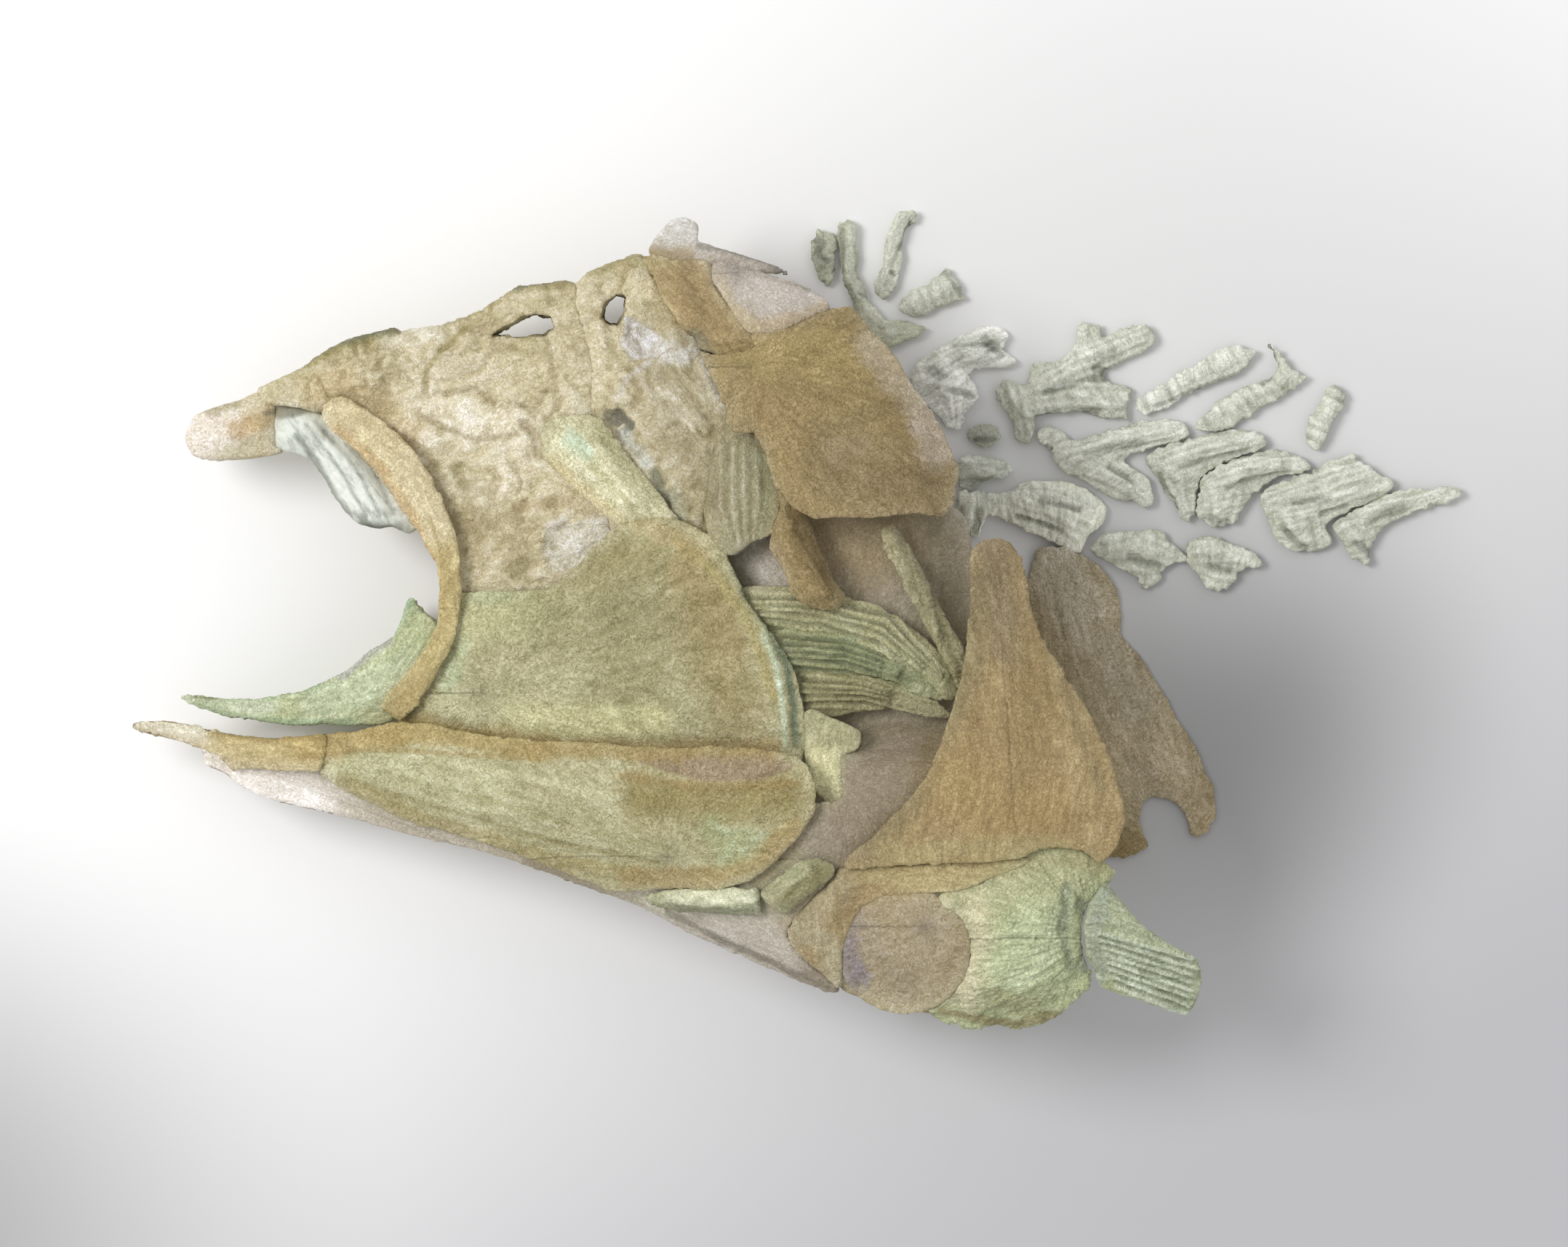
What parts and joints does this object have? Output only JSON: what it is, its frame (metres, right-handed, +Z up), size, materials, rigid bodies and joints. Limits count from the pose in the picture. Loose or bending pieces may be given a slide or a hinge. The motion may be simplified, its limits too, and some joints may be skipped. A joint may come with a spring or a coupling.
{
  "type": "fossil fish skeleton",
  "caption": "Still model of a fossil lobe-finned fish: gaping skull and jaws, gill cover, shoulder girdle, fin and loose vertebral arches, lying on its right side.",
  "frame": {"origin": "middle of the bounding box, on the floor that the bones lie on", "axes": "+X from the snout to the tail, +Y to the fish's back, +Z up, to its left side"},
  "size_m": [0.2298, 0.1406, 0.0532],
  "materials": {
    "tan_bone": "matte",
    "ochre_bone": "matte",
    "green_bone": "matte",
    "mint_bone": "matte",
    "brown_bone": "matte",
    "mauve_bone": "matte",
    "grey_bone": "matte"
  },
  "bodies": {
    "root": {"angular_left": "green_bone", "angular_right": "green_bone", "arch_1": "grey_bone", "arch_2": "grey_bone", "arch_3": "grey_bone", "arch_4": "grey_bone", "arch_5": "grey_bone", "arch_6": "grey_bone", "arch_7": "grey_bone", "basal_disc_left": "tan_bone", "braincase_floor": "tan_bone", "centrum_1": "grey_bone", "cheek_bar_left": "ochre_bone", "cheek_bar_right": "ochre_bone", "clavicle_left": "ochre_bone", "cleithrum_left": "ochre_bone", "cleithrum_right": "brown_bone", "dentary_left": "ochre_bone", "dentary_right": "ochre_bone", "front_blade_left": "mint_bone", "front_blade_right": "mint_bone", "gill_arch_lower_left": "green_bone", "gill_arch_middle_left": "mint_bone", "gill_arch_upper_left": "green_bone", "gill_cover_left": "brown_bone", "gill_cover_right": "mauve_bone", "gill_ray_left": "green_bone", "girdle_keel": "tan_bone", "gular_left": "mauve_bone", "gular_right": "mauve_bone", "hyoid_front_left": "mint_bone", "hyoid_rear_left": "mint_bone", "hyomandibula_left": "tan_bone", "neck_arch": "grey_bone", "neck_centrum": "grey_bone", "neck_spine": "grey_bone", "nuchal_plate": "mauve_bone", "palate_fan_left": "green_bone", "palate_left": "green_bone", "palate_right": "mauve_bone", "pectoral_fin_left": "mint_bone", "preopercle_left": "brown_bone", "quadrate_left": "mint_bone", "rib_arch_1": "grey_bone", "rib_arch_2": "grey_bone", "rib_arch_3": "grey_bone", "rib_head_1": "grey_bone", "scapulocoracoid_left": "mint_bone", "scapulocoracoid_right": "mint_bone", "skull_front": "tan_bone", "skull_rear": "tan_bone", "skull_roof_rear": "ochre_bone", "snout": "tan_bone", "spine_1": "grey_bone", "spine_2": "grey_bone", "spine_3": "grey_bone", "spine_stub_1": "grey_bone", "subopercle_left": "mauve_bone", "temporal_left": "mauve_bone", "vomer": "grey_bone"}
  },
  "joints": []
}
